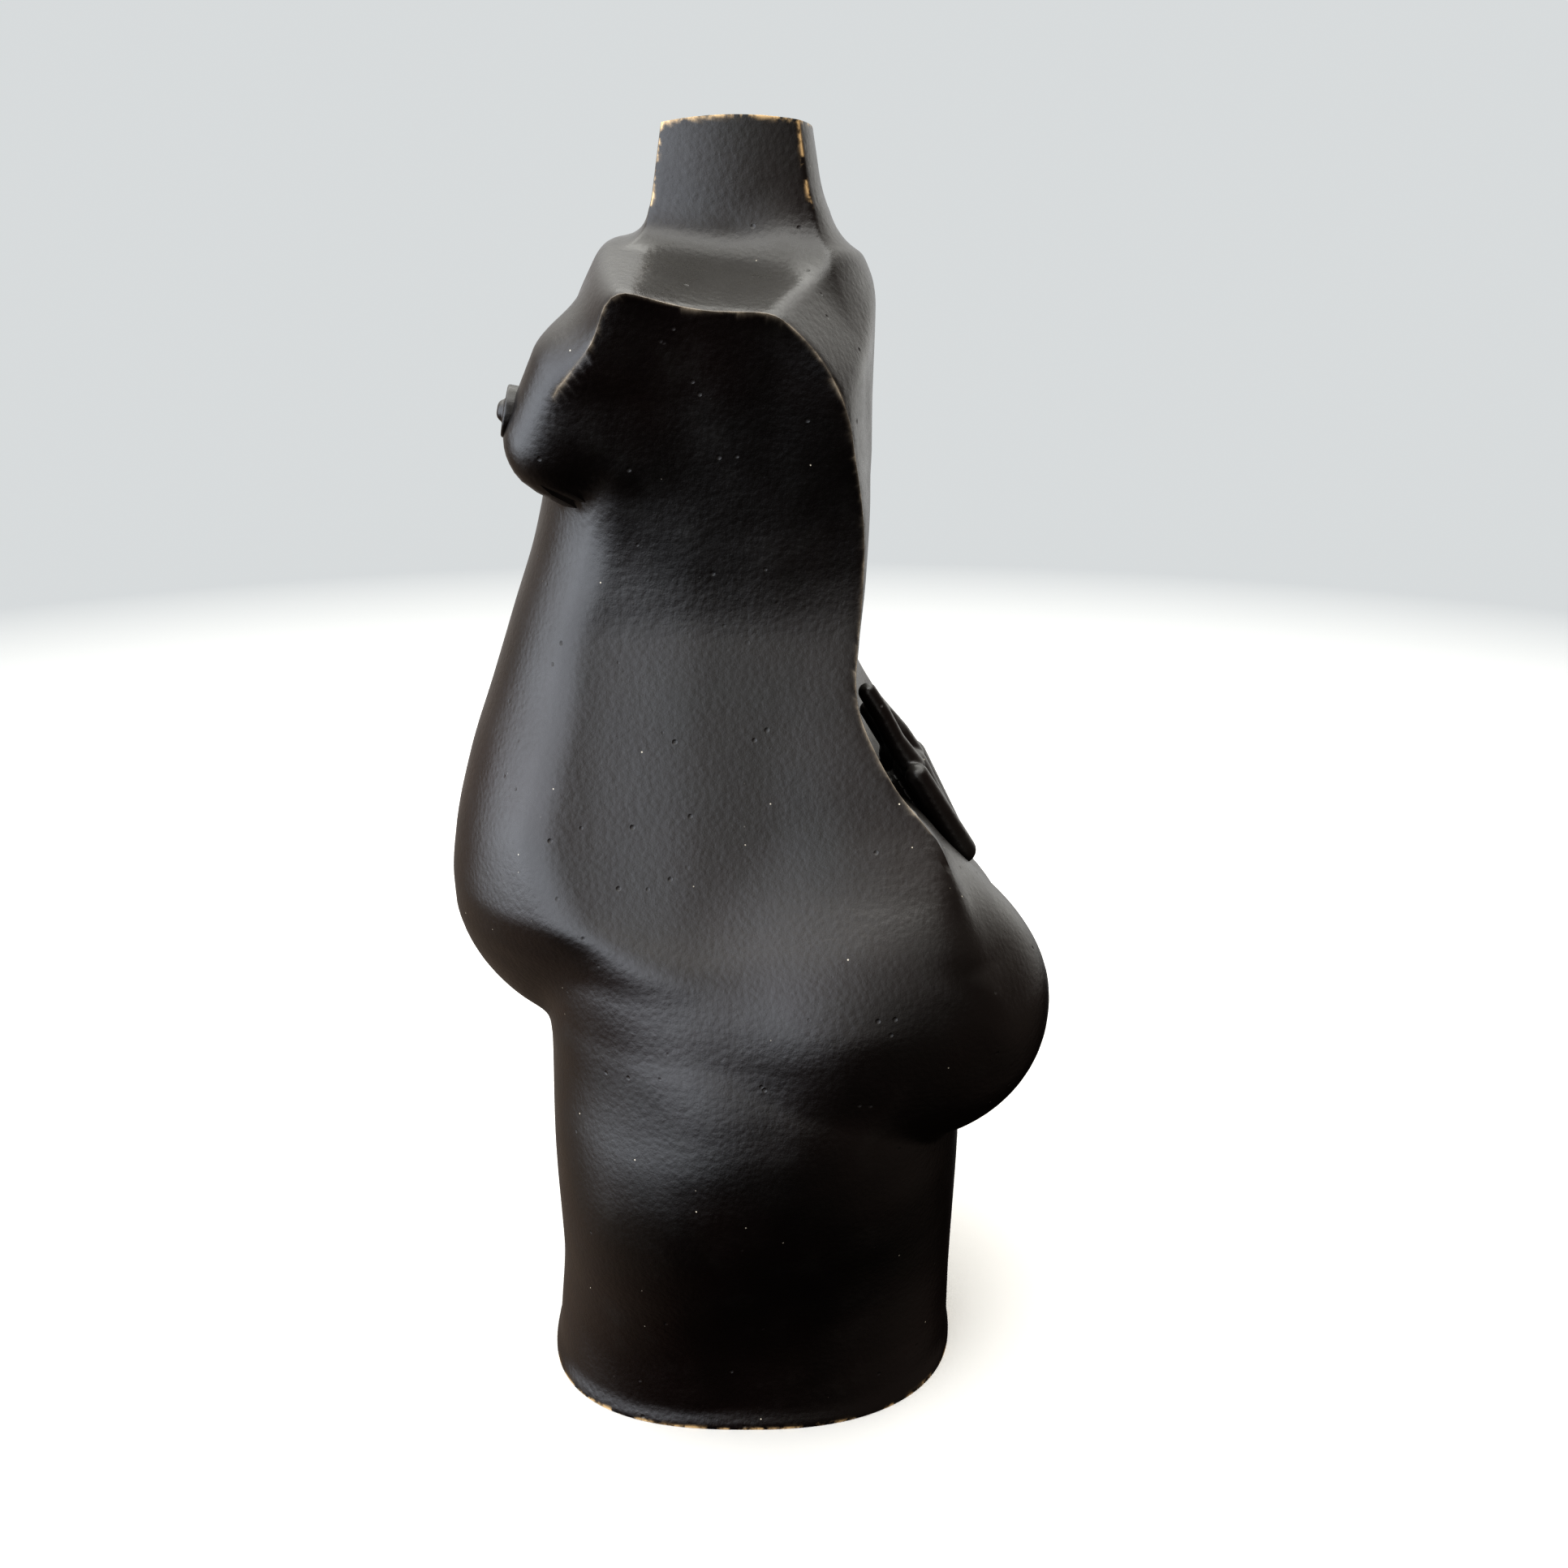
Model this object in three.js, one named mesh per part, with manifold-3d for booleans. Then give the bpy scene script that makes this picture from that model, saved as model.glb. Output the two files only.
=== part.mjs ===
import * as THREE from 'three';
import { mergeVertices } from 'three/addons/utils/BufferGeometryUtils.js';
import Module from 'manifold-3d';

const wasm = await Module();
wasm.setup();

// Driving sizes in millimetres. +Z is up, the figure faces -Y, its left side is +X,
// and the origin is the middle of the flat underside.
const height = 420;
const columnLength = 145;
const columnWidth = 122;
const footRimHeight = 8;
const footRimFlare = 1.2;
const neckLength = 43;
const neckWidth = 48;
const neckRoundWidth = 66;

// Mesh density: columns round the figure and rows up it.
const columns = 60;
const rows = 60;

// The figure's profiles are drawn for this height and follow the real one.
const drawnHeight = 420;
const grow = height / drawnHeight;

const clamp01 = (t) => Math.min(1, Math.max(0, t));
const ease = (from, to, t) => {
  const s = clamp01((t - from) / (to - from));
  return s * s * (3 - 2 * s);
};
const mix = (a, b, t) => a + (b - a) * t;

// A smooth curve through [place, value] pairs that never overshoots them.
function profile(...points) {
  const steps = points.slice(1).map(([x, y], i) => (y - points[i][1]) / (x - points[i][0]));
  const tangents = points.map((point, i) => {
    const before = steps[Math.max(0, i - 1)];
    const after = steps[Math.min(steps.length - 1, i)];
    return before * after <= 0 ? 0 : (2 * before * after) / (before + after);
  });
  return (x) => {
    const last = points.length - 1;
    if (x <= points[0][0]) return points[0][1];
    if (x >= points[last][0]) return points[last][1];
    const i = points.findIndex((point) => point[0] > x) - 1;
    const span = points[i + 1][0] - points[i][0];
    const t = (x - points[i][0]) / span;
    const a = points[i][1];
    const b = points[i + 1][1];
    const rise = tangents[i] * span;
    const fall = tangents[i + 1] * span;
    return a + t * (rise + t * (3 * (b - a) - 2 * rise - fall + t * (2 * (a - b) + rise + fall)));
  };
}

// Blended union and intersection of distances; soft is the width of the blend.
function union(a, b, soft) {
  const h = Math.max(soft - Math.abs(a - b), 0) / soft;
  return Math.min(a, b) - (h * h * soft) / 4;
}
const common = (a, b, soft) => -union(-a, -b, soft);

// Distance outside a rounded section with its own half sizes and squareness at front and back.
function section(x, y, halfWidth, front, back, squareFront, squareBack) {
  const depth = y < 0 ? front : back;
  const power = y < 0 ? squareFront : squareBack;
  const out = (Math.abs(x / halfWidth) ** power + Math.abs(y / depth) ** power) ** (1 / power);
  return out < 1e-6 ? -Math.min(halfWidth, depth) : Math.hypot(x, y) * (1 - 1 / out);
}

function ellipsoid(p, centre, radii) {
  const q = p.map((value, i) => (value - centre[i]) / radii[i]);
  const out = Math.hypot(...q);
  const apart = Math.hypot(p[0] - centre[0], p[1] - centre[1], p[2] - centre[2]);
  return out < 1e-6 ? -Math.min(...radii) : apart * (1 - 1 / out);
}

// A limb with round ends that tapers from one point to another.
function limb(p, from, to, startRadius, endRadius) {
  const along = to.map((value, i) => value - from[i]);
  const away = p.map((value, i) => value - from[i]);
  const dot = along.reduce((sum, value, i) => sum + value * away[i], 0);
  const t = clamp01(dot / along.reduce((sum, value) => sum + value * value, 0));
  const gap = away.map((value, i) => value - along[i] * t);
  return Math.hypot(...gap) - mix(startRadius, endRadius, t);
}

// Torso: how far the front and the back reach at each height, and how wide the front is drawn.
const frontReach = profile(
  [120, 24], [129, 50], [135, 69], [141, 81], [150, 89.5], [159, 95], [168, 98.5], [177, 100.2],
  [186, 100.3], [203, 98.3], [229, 91.8], [253, 83.3], [277, 75], [300, 67.1], [318, 63], [346, 60],
  [359, 54.5], [372, 49.5], [386, 42], [400, 34],
);
const frontWidth = profile(
  [125, 24], [140, 44], [155, 58], [168, 68], [178, 75], [190, 80], [210, 79], [235, 71], [260, 63.5],
  [300, 58.5], [325, 66], [346, 80], [358, 94], [368, 95], [376, 94], [386, 100],
);
const backReach = profile(
  [120, 60], [160, 66], [180, 60], [195, 53], [210, 44], [225, 38], [240, 34.5], [255, 33.5], [272, 35.5],
  [290, 37.5], [314, 38.6], [340, 38.4], [365, 38.8], [385, 38],
);
const backFlare = profile(
  [180, 0], [195, 4], [205, 8], [215, 10.5], [234, 6.5], [255, 0.5], [272, -2], [300, -3.4], [331, -5.6],
  [345, -6],
);
const spineGroove = profile([190, 2], [225, 3.2], [260, 3.4], [330, 2], [370, 0]);
const belly = { bottom: 118, softness: 14 };
const grooveWidth = 9;
const chestSoftness = 10;
const chestDepth = 60;
const backFlareHalf = 50;

// Shoulders: one plane falling outwards and back, and one behind it over each shoulder blade.
const shoulderTop = {
  level: 387.3, flatHalf: 20, turn: 6, fall: 0.32, tilt: 0.09, tiltPlace: -30, steepness: 0.93,
};
const shoulderWaves = [
  { at: -31, reach: 8, depth: -1.4 },
  { at: -9, reach: 11, depth: 1.3 },
];
const shoulderBlade = { aim: [0.492, 0.756, 0.431], reach: 201.3, roundness: 22 };
const bladeArch = { depth: 2, level: 354.5, curve: 0.013, below: -14, above: 30 };
const shoulderHalf = 62;
const shoulderSoftness = { top: 5, blade: 2 };

// Flank: the hollow cut where the arm would be, as the half width of the body at each height.
const flankWidth = profile(
  [0, 130], [130, 106], [150, 94], [162, 86], [172, 79.2], [180, 74.2], [190, 69], [200, 65], [215, 60.2],
  [230, 56.4], [250, 51.7], [270, 47.3], [276, 46.3], [282, 46], [290, 46.3], [302, 47.6], [318, 50],
  [334, 53.3], [348, 57], [360, 61], [368, 64.3], [372, 66.7], [374, 69], [380, 82], [400, 120],
);
const flankRearFlare = profile(
  [200, 0], [215, 1], [236, 1], [255, 0.5], [272, 0], [300, -1], [325, 0], [341, 1.2], [360, 1.8], [374, 0],
);
const flankFrontFlare = profile(
  [170, 0], [196, -2], [230, -2], [255, -2], [282, -2], [300, -2.8], [316, -1.4], [325, 1.5], [335, 2.2],
  [344, 2.2], [350, 3.4], [359, 3.7], [366, 2.6], [374, 0],
);
const rearFlareReach = [5, 33];
const frontFlareReach = [12, 50];
const flankSlope = 0.9;
const rimPeak = 374;
const rimFade = [300, 350];
const rimHeight = profile([-60, 376], [-30, rimPeak], [8, 369], [16, 366], [40, 356]);
const frontEdgeSoftness = profile(
  [150, 22], [170, 15], [180, 9], [192, 5], [205, 4.5], [225, 4], [260, 3.3], [308, 3.3], [322, 3.2],
  [335, 2.6], [345, 1.2],
);
const rearEdgeSoftness = profile([150, 26], [180, 18], [192, 14], [205, 8], [222, 2], [235, 1]);
const edgeBlend = [-20, 10];
const crispEdge = 3.1;

// Thighs and hips run together into one column; what they add to its half sizes at each height.
const hipSwell = profile(
  [10, 0.3], [30, 2.5], [50, 8.5], [70, 16.5], [90, 23], [105, 25.7], [118, 26.4], [132, 25.6], [147, 24.4],
  [162, 23.2], [176, 22.8], [186, 23], [197, 26], [206, 31],
);
const hipShift = profile([-60, -8], [-20, -4], [0, 0], [40, 12]);
const hipCentre = profile([60, 0], [100, 5], [130, 11], [206, 13]);
const thighSwell = profile(
  [0, 0], [15, -1.5], [50, -4.3], [96, -3.4], [130, -3.8], [150, -1.5], [167, 1.5], [191, 1.8], [200, -6],
  [208, -22],
);
const seatSwell = profile([30, 0], [90, 1], [110, -1], [150, -6], [190, -22]);
const thighSquareness = profile([40, 2.6], [110, 2.4], [150, 2.3]);
const columnSquareness = 2.35;
const thighTop = { level: 206, softness: 12 };
const hipSoftness = profile([-70, 4], [-52, 5], [-30, 14], [10, 26]);

const buttock = {
  centre: [38, 47.7, 152], radii: [40.5, 50, 46.8], farDrop: 21, foldSoftness: 2.5, topSoftness: 34,
  foldLevel: 110, topLevel: 165,
};
const breast = { tip: [37, -52.7, 332], tipRadius: 17, top: [41.5, -42, 348.4], topRadius: 19.5 };
const breastSoftness = profile([318, 5], [338, 12], [362, 10]);
const neck = {
  middle: -1.8, root: 340, widening: 0.16, widest: 4, squareFront: 5, squareBack: 2.5,
  cornerSoftness: 0.6, rootSoftness: 4, joinFront: 13, joinBack: 22, joinBlend: [-5, 15],
};

// The far arm lies behind the body, from the shoulder to the wrist at the small of the back.
const farArm = [
  { from: [-56, -2, 350], to: [-62, 8, 232], radii: [14, 11.5] },
  { from: [-62, 8, 232], to: [-12, 59, 202], radii: [11.5, 8] },
];
const armSoftness = 9;

function flankLimit(y, z) {
  const level = z + (rimPeak - rimHeight(y)) * ease(...rimFade, z);
  const rear = flankRearFlare(level) * ease(...rearFlareReach, y);
  const front = flankFrontFlare(level) * ease(...frontFlareReach, -y);
  return flankWidth(level) + rear + front;
}

// The body's skin before the flanks are cut away.
function torsoSkin(x, y, z) {
  const outward = Math.abs(x);
  const front = section(x, Math.min(y, 0), frontWidth(z), frontReach(z), chestDepth, 2, 2);
  const groove = spineGroove(z) * Math.exp(-((x / grooveWidth) ** 2));
  const back = y - backReach(z) - backFlare(z) * (x / backFlareHalf) ** 2 + groove;
  const { level, flatHalf, turn, fall, tilt, tiltPlace, steepness } = shoulderTop;
  const slope = Math.log1p(Math.exp((outward - flatHalf) / turn)) * turn;
  const wave = ({ at, reach: wide, depth }) => depth * Math.exp(-(((y - at) / wide) ** 2));
  const waves = shoulderWaves.reduce((sum, one) => sum + wave(one), 0);
  const outer = (x / shoulderHalf) ** 2;
  const top = steepness * (z - level + fall * slope + tilt * (y - tiltPlace)) + waves * outer;
  const { aim, reach, roundness } = shoulderBlade;
  const rise = Math.min(bladeArch.above, Math.max(bladeArch.below, z - bladeArch.level));
  const arch = (bladeArch.curve * rise * rise - bladeArch.depth) * outer;
  const blade = aim[0] * Math.hypot(x, roundness) + aim[1] * y + aim[2] * z - reach + arch;
  const breastForm = limb([outward, y, z], breast.tip, breast.top, breast.tipRadius, breast.topRadius);
  const chest = union(common(front, back, chestSoftness), breastForm, breastSoftness(z));
  return common(common(chest, top, shoulderSoftness.top), blade, shoulderSoftness.blade);
}

function neckForm(x, y, z) {
  const half = neckLength / 2 + Math.min(neck.widest, neck.widening * (drawnHeight - z));
  const { squareFront, squareBack } = neck;
  const round = section(x, y - neck.middle, neckRoundWidth / 2, half, half, squareFront, squareBack);
  const sided = common(round, Math.abs(x) - neckWidth / 2, neck.cornerSoftness);
  return common(sided, neck.root - z, neck.rootSoftness);
}

function hipsForm(x, y, z) {
  const rim = footRimFlare * (1 - ease(0, footRimHeight, z));
  const halfWidth = columnWidth / 2 + hipSwell(z - hipShift(y)) + rim;
  const front = columnLength / 2 + thighSwell(z) + rim;
  const back = columnLength / 2 + seatSwell(z) + rim;
  const middle = hipCentre(z);
  const thigh = thighSquareness(z);
  const column = section(x, y - middle, halfWidth, front + middle, back - middle, thigh, columnSquareness);
  return common(column, z - thighTop.level, thighTop.softness);
}

// Signed distance to the carved figure, and which of the flank and the skin is nearer.
function form(x, y, z) {
  const outward = Math.abs(x);
  const skin = torsoSkin(x, y, z);
  const flank = (outward - flankLimit(y, z)) * flankSlope;
  const softness = mix(frontEdgeSoftness(z), rearEdgeSoftness(z), ease(...edgeBlend, y));
  const edge = softness < crispEdge ? flank - skin : null;
  let solid = common(skin, belly.bottom - z, belly.softness);
  solid = union(solid, hipsForm(x, y, z), hipSoftness(y));
  solid = common(solid, flank, softness);
  solid = union(solid, neckForm(x, y, z), mix(neck.joinFront, neck.joinBack, ease(...neck.joinBlend, y)));
  const level = x > 0 ? z : z + buttock.farDrop;
  const seat = ellipsoid([outward, y, level], buttock.centre, buttock.radii);
  const { foldSoftness, topSoftness, foldLevel, topLevel } = buttock;
  solid = union(solid, seat, mix(foldSoftness, topSoftness, ease(foldLevel, topLevel, level)));
  for (const { from, to, radii } of farArm) {
    solid = union(solid, limb([x, y, z], from, to, ...radii), armSoftness);
  }
  return { distance: solid, edge };
}

// Rays fan out from an upright axis inside the body, tilted upwards below the shoulders.
const axisPlace = profile(
  [0, 1], [100, 1], [170, 0], [230, -12], [270, -18], [300, -14], [350, -6], [390, -2],
);
const rayTilt = profile(
  [240, 0], [300, 0.35], [330, 0.75], [345, 0.8], [365, 0.45], [385, 0.1], [395, 0],
);
const rayReach = { farthest: 130, nearest: 6, stride: 4, halvings: 22 };
const edgeHalvings = 16;
const rowHeight = profile(
  [0, 0], [0.03, 5], [0.5, 222], [0.62, 290], [0.7, 318], [0.78, 335], [0.86, 356], [0.94, 388], [1, 420],
);

function castRay(row, column) {
  const base = rowHeight(row / rows);
  const tilt = rayTilt(base);
  const turn = (column / columns) * Math.PI * 2;
  const middle = axisPlace(base);
  const at = (reach) => [Math.sin(turn) * reach, middle - Math.cos(turn) * reach, base + tilt * reach];
  let outside = rayReach.farthest;
  while (outside > rayReach.nearest && form(...at(outside)).distance > 0) outside -= rayReach.stride;
  let inside = outside;
  outside += rayReach.stride;
  for (let i = 0; i < rayReach.halvings; i += 1) {
    const half = (inside + outside) / 2;
    if (form(...at(half)).distance > 0) outside = half;
    else inside = half;
  }
  const point = at(inside);
  return { point, edge: form(...point).edge };
}

// Places one grid point on the sharp edge between it and its neighbour, and marks it.
function slideToEdge(grid, row, column, otherRow, otherColumn) {
  const here = grid[row][column % columns];
  const there = grid[otherRow][otherColumn % columns];
  if (here.fixed || there.fixed || here.edge === null || there.edge === null) return;
  if (here.edge * there.edge >= 0) return;
  let low = 0;
  let high = 1;
  for (let i = 0; i < edgeHalvings; i += 1) {
    const half = (low + high) / 2;
    const probe = castRay(mix(row, otherRow, half), mix(column, otherColumn, half));
    if (probe.edge !== null && probe.edge * here.edge > 0) low = half;
    else high = half;
  }
  const moved = castRay(mix(row, otherRow, low), mix(column, otherColumn, low));
  const target = low < 0.5 ? here : there;
  target.point = moved.point;
  target.fixed = true;
}

function carveBody() {
  const grid = [];
  for (let row = 0; row <= rows; row += 1) {
    grid.push([]);
    for (let column = 0; column < columns; column += 1) grid[row].push(castRay(row, column));
  }
  for (let row = 1; row < rows; row += 1) {
    for (let column = 0; column < columns; column += 1) {
      slideToEdge(grid, row, column, row + 1, column);
      slideToEdge(grid, row, column, row, column + 1);
    }
  }
  const points = [];
  for (const line of grid) {
    for (const { point } of line) points.push(...point);
  }
  const bottomCentre = points.length / 3;
  points.push(0, 0, 0);
  const topCentre = points.length / 3;
  points.push(0, neck.middle, drawnHeight);
  const faces = [];
  const index = (row, column) => row * columns + (column % columns);
  for (let row = 0; row < rows; row += 1) {
    for (let column = 0; column < columns; column += 1) {
      const a = index(row, column);
      const b = index(row, column + 1);
      const c = index(row + 1, column + 1);
      const d = index(row + 1, column);
      const rising = grid[row][column].fixed && grid[row + 1][(column + 1) % columns].fixed;
      if (rising) faces.push(a, b, c, a, c, d);
      else faces.push(a, b, d, b, c, d);
    }
  }
  for (let column = 0; column < columns; column += 1) {
    faces.push(bottomCentre, index(0, column + 1), index(0, column));
    faces.push(topCentre, index(rows, column), index(rows, column + 1));
  }
  return asSolid(points, faces);
}

function asSolid(points, faces) {
  const mesh = new wasm.Mesh({
    numProp: 3,
    vertProperties: new Float32Array(points),
    triVerts: new Uint32Array(faces),
  });
  return new wasm.Manifold(mesh);
}

function solidFrom(geometry) {
  geometry.deleteAttribute('normal');
  geometry.deleteAttribute('uv');
  const merged = mergeVertices(geometry, 1e-4);
  return asSolid(merged.attributes.position.array, merged.index.array);
}

// A round bar between two points, with its own radius at each end.
function bar(from, to, startRadius, endRadius, sides = 8, rings = 3) {
  const start = new THREE.Vector3(...from);
  const along = new THREE.Vector3(...to).sub(start);
  const length = along.length();
  const outline = [];
  for (let i = 0; i <= rings; i += 1) {
    const turn = (i / rings) * (Math.PI / 2);
    outline.push(new THREE.Vector2(Math.sin(turn) * startRadius, -Math.cos(turn) * startRadius));
  }
  for (let i = rings; i >= 0; i -= 1) {
    const turn = (i / rings) * (Math.PI / 2);
    outline.push(new THREE.Vector2(Math.sin(turn) * endRadius, length + Math.cos(turn) * endRadius));
  }
  outline[0].x = 0;
  outline[outline.length - 1].x = 0;
  const geometry = new THREE.LatheGeometry(outline, sides);
  const upright = new THREE.Vector3(0, 1, 0);
  const turned = new THREE.Quaternion().setFromUnitVectors(upright, along.clone().normalize());
  geometry.applyQuaternion(turned);
  geometry.translate(...from);
  return solidFrom(geometry);
}

// Hand on the small of the back: the back of the hand faces out, the fingers point up.
const palm = [
  { from: [-13, 61, 200], to: [-11, 50, 221], radii: [8, 6] },
  { from: [-4, 66, 194], to: [-3, 53.5, 222], radii: [7.5, 6.5] },
  { from: [6, 67, 193], to: [8, 53.5, 222.5], radii: [7, 6] },
  { from: [10, 58, 198], to: [8, 46, 216], radii: [6, 5] },
];
const fingers = [
  {
    joints: [[12, 53.5, 224], [12.5, 47.5, 233], [13, 43, 242], [13, 38.5, 249.3]],
    radii: [4.2, 3.5, 3.3, 3.1],
  },
  { joints: [[4, 54, 225], [4, 49.5, 233], [3.5, 45, 238.8]], radii: [4.4, 3.6, 3.2] },
  { joints: [[-4.5, 52, 225], [-5.5, 46.5, 233], [-6.5, 41.5, 240]], radii: [4.4, 3.7, 3.3] },
  { joints: [[-12, 49.5, 223], [-14, 44.5, 229.5], [-16, 40.5, 235]], radii: [4.2, 3.5, 3.1] },
];
const thumb = { from: [17, 70.5, 196.5], to: [18, 54.8, 222.5], radii: [4.6, 4.1] };

function carveHand() {
  const bars = palm.map(({ from, to, radii }) => bar(from, to, ...radii));
  for (const { joints, radii } of fingers) {
    for (let i = 0; i + 1 < joints.length; i += 1) {
      bars.push(bar(joints[i], joints[i + 1], radii[i], radii[i + 1]));
    }
  }
  bars.push(bar(thumb.from, thumb.to, ...thumb.radii));
  return bars;
}

// Nipple: a low disc with a short knob, set on the breast and turned outwards.
const nipple = {
  place: [37.5, -67.6, 340], aim: [0.12, -0.97, 0.2],
  discRadius: 7.6, discRise: 1.4, knobRadius: 2.5, knobRise: 3,
};

function carveNipple(side) {
  const { discRadius, discRise, knobRadius, knobRise } = nipple;
  const outline = [
    [0, -4], [discRadius * 0.92, -4], [discRadius, 0], [discRadius * 0.84, discRise],
    [knobRadius * 1.3, discRise * 1.1], [knobRadius, knobRise], [0, knobRise + 0.9],
  ];
  const geometry = new THREE.LatheGeometry(outline.map(([x, y]) => new THREE.Vector2(x, y)), 14);
  const aim = new THREE.Vector3(nipple.aim[0] * side, nipple.aim[1], nipple.aim[2]).normalize();
  geometry.applyQuaternion(new THREE.Quaternion().setFromUnitVectors(new THREE.Vector3(0, 1, 0), aim));
  geometry.translate(nipple.place[0] * side, nipple.place[1], nipple.place[2]);
  return solidFrom(geometry);
}

function buildTorso() {
  let solid = carveBody();
  for (const piece of [...carveHand(), carveNipple(1), carveNipple(-1)]) solid = solid.add(piece);
  const { vertProperties, triVerts, numProp } = solid.getMesh();
  const geometry = new THREE.BufferGeometry();
  const positions = new Float32Array((vertProperties.length / numProp) * 3);
  for (let i = 0; i < positions.length / 3; i += 1) {
    for (let axis = 0; axis < 3; axis += 1) {
      positions[i * 3 + axis] = vertProperties[i * numProp + axis] * grow;
    }
  }
  geometry.setAttribute('position', new THREE.BufferAttribute(positions, 3));
  geometry.setIndex(new THREE.BufferAttribute(new Uint32Array(triVerts), 1));
  geometry.computeVertexNormals();
  return geometry;
}

const patina = new THREE.MeshStandardMaterial({ color: 0x2b2725, roughness: 0.5, metalness: 0 });
const torso = new THREE.Mesh(buildTorso(), patina);
torso.name = 'torso';

const figure = new THREE.Group();
figure.add(torso);

export default figure;
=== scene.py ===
import math
import bpy
import numpy as np
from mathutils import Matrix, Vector


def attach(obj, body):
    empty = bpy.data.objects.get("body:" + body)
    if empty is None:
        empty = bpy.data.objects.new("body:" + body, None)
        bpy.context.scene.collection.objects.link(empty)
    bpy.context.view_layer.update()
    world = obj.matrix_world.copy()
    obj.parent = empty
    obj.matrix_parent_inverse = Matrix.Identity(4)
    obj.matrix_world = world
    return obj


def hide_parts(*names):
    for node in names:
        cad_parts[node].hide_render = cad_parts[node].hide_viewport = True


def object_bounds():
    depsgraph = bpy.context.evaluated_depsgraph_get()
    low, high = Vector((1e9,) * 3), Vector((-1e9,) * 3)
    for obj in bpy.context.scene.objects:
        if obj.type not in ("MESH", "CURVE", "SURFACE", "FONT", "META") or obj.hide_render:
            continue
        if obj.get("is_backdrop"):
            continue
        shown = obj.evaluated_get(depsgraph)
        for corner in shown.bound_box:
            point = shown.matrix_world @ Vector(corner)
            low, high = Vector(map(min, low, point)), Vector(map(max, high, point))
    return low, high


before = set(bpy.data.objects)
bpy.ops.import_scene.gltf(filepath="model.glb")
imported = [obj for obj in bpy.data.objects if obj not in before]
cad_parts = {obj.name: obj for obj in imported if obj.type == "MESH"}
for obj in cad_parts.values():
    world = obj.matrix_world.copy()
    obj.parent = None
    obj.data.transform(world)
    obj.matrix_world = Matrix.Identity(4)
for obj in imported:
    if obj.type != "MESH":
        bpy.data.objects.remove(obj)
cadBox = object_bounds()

mm = 0.001


def deselectAll():
    if bpy.context.object and bpy.context.object.mode != "OBJECT":
        bpy.ops.object.mode_set(mode="OBJECT")
    bpy.ops.object.select_all(action="DESELECT")


def selectOnly(*things):
    deselectAll()
    for thing in things:
        thing.select_set(True)
    bpy.context.view_layer.objects.active = things[0]


# camera: at the height of the shoulders, half a metre from the figure's left flank
view = {"place": (0.4998, 0.0116, 0.3856), "lookDown": 19, "lens": 36, "sensor": 36}
deselectAll()
bpy.ops.object.camera_add(location=view["place"])
camera = bpy.context.object
camera.rotation_euler = (math.radians(90 - view["lookDown"]), 0, math.radians(90))
camera.data.lens = view["lens"]
camera.data.sensor_width = view["sensor"]
camera.data.clip_start = 0.01
bpy.context.scene.camera = camera
print("camera is set")

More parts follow.
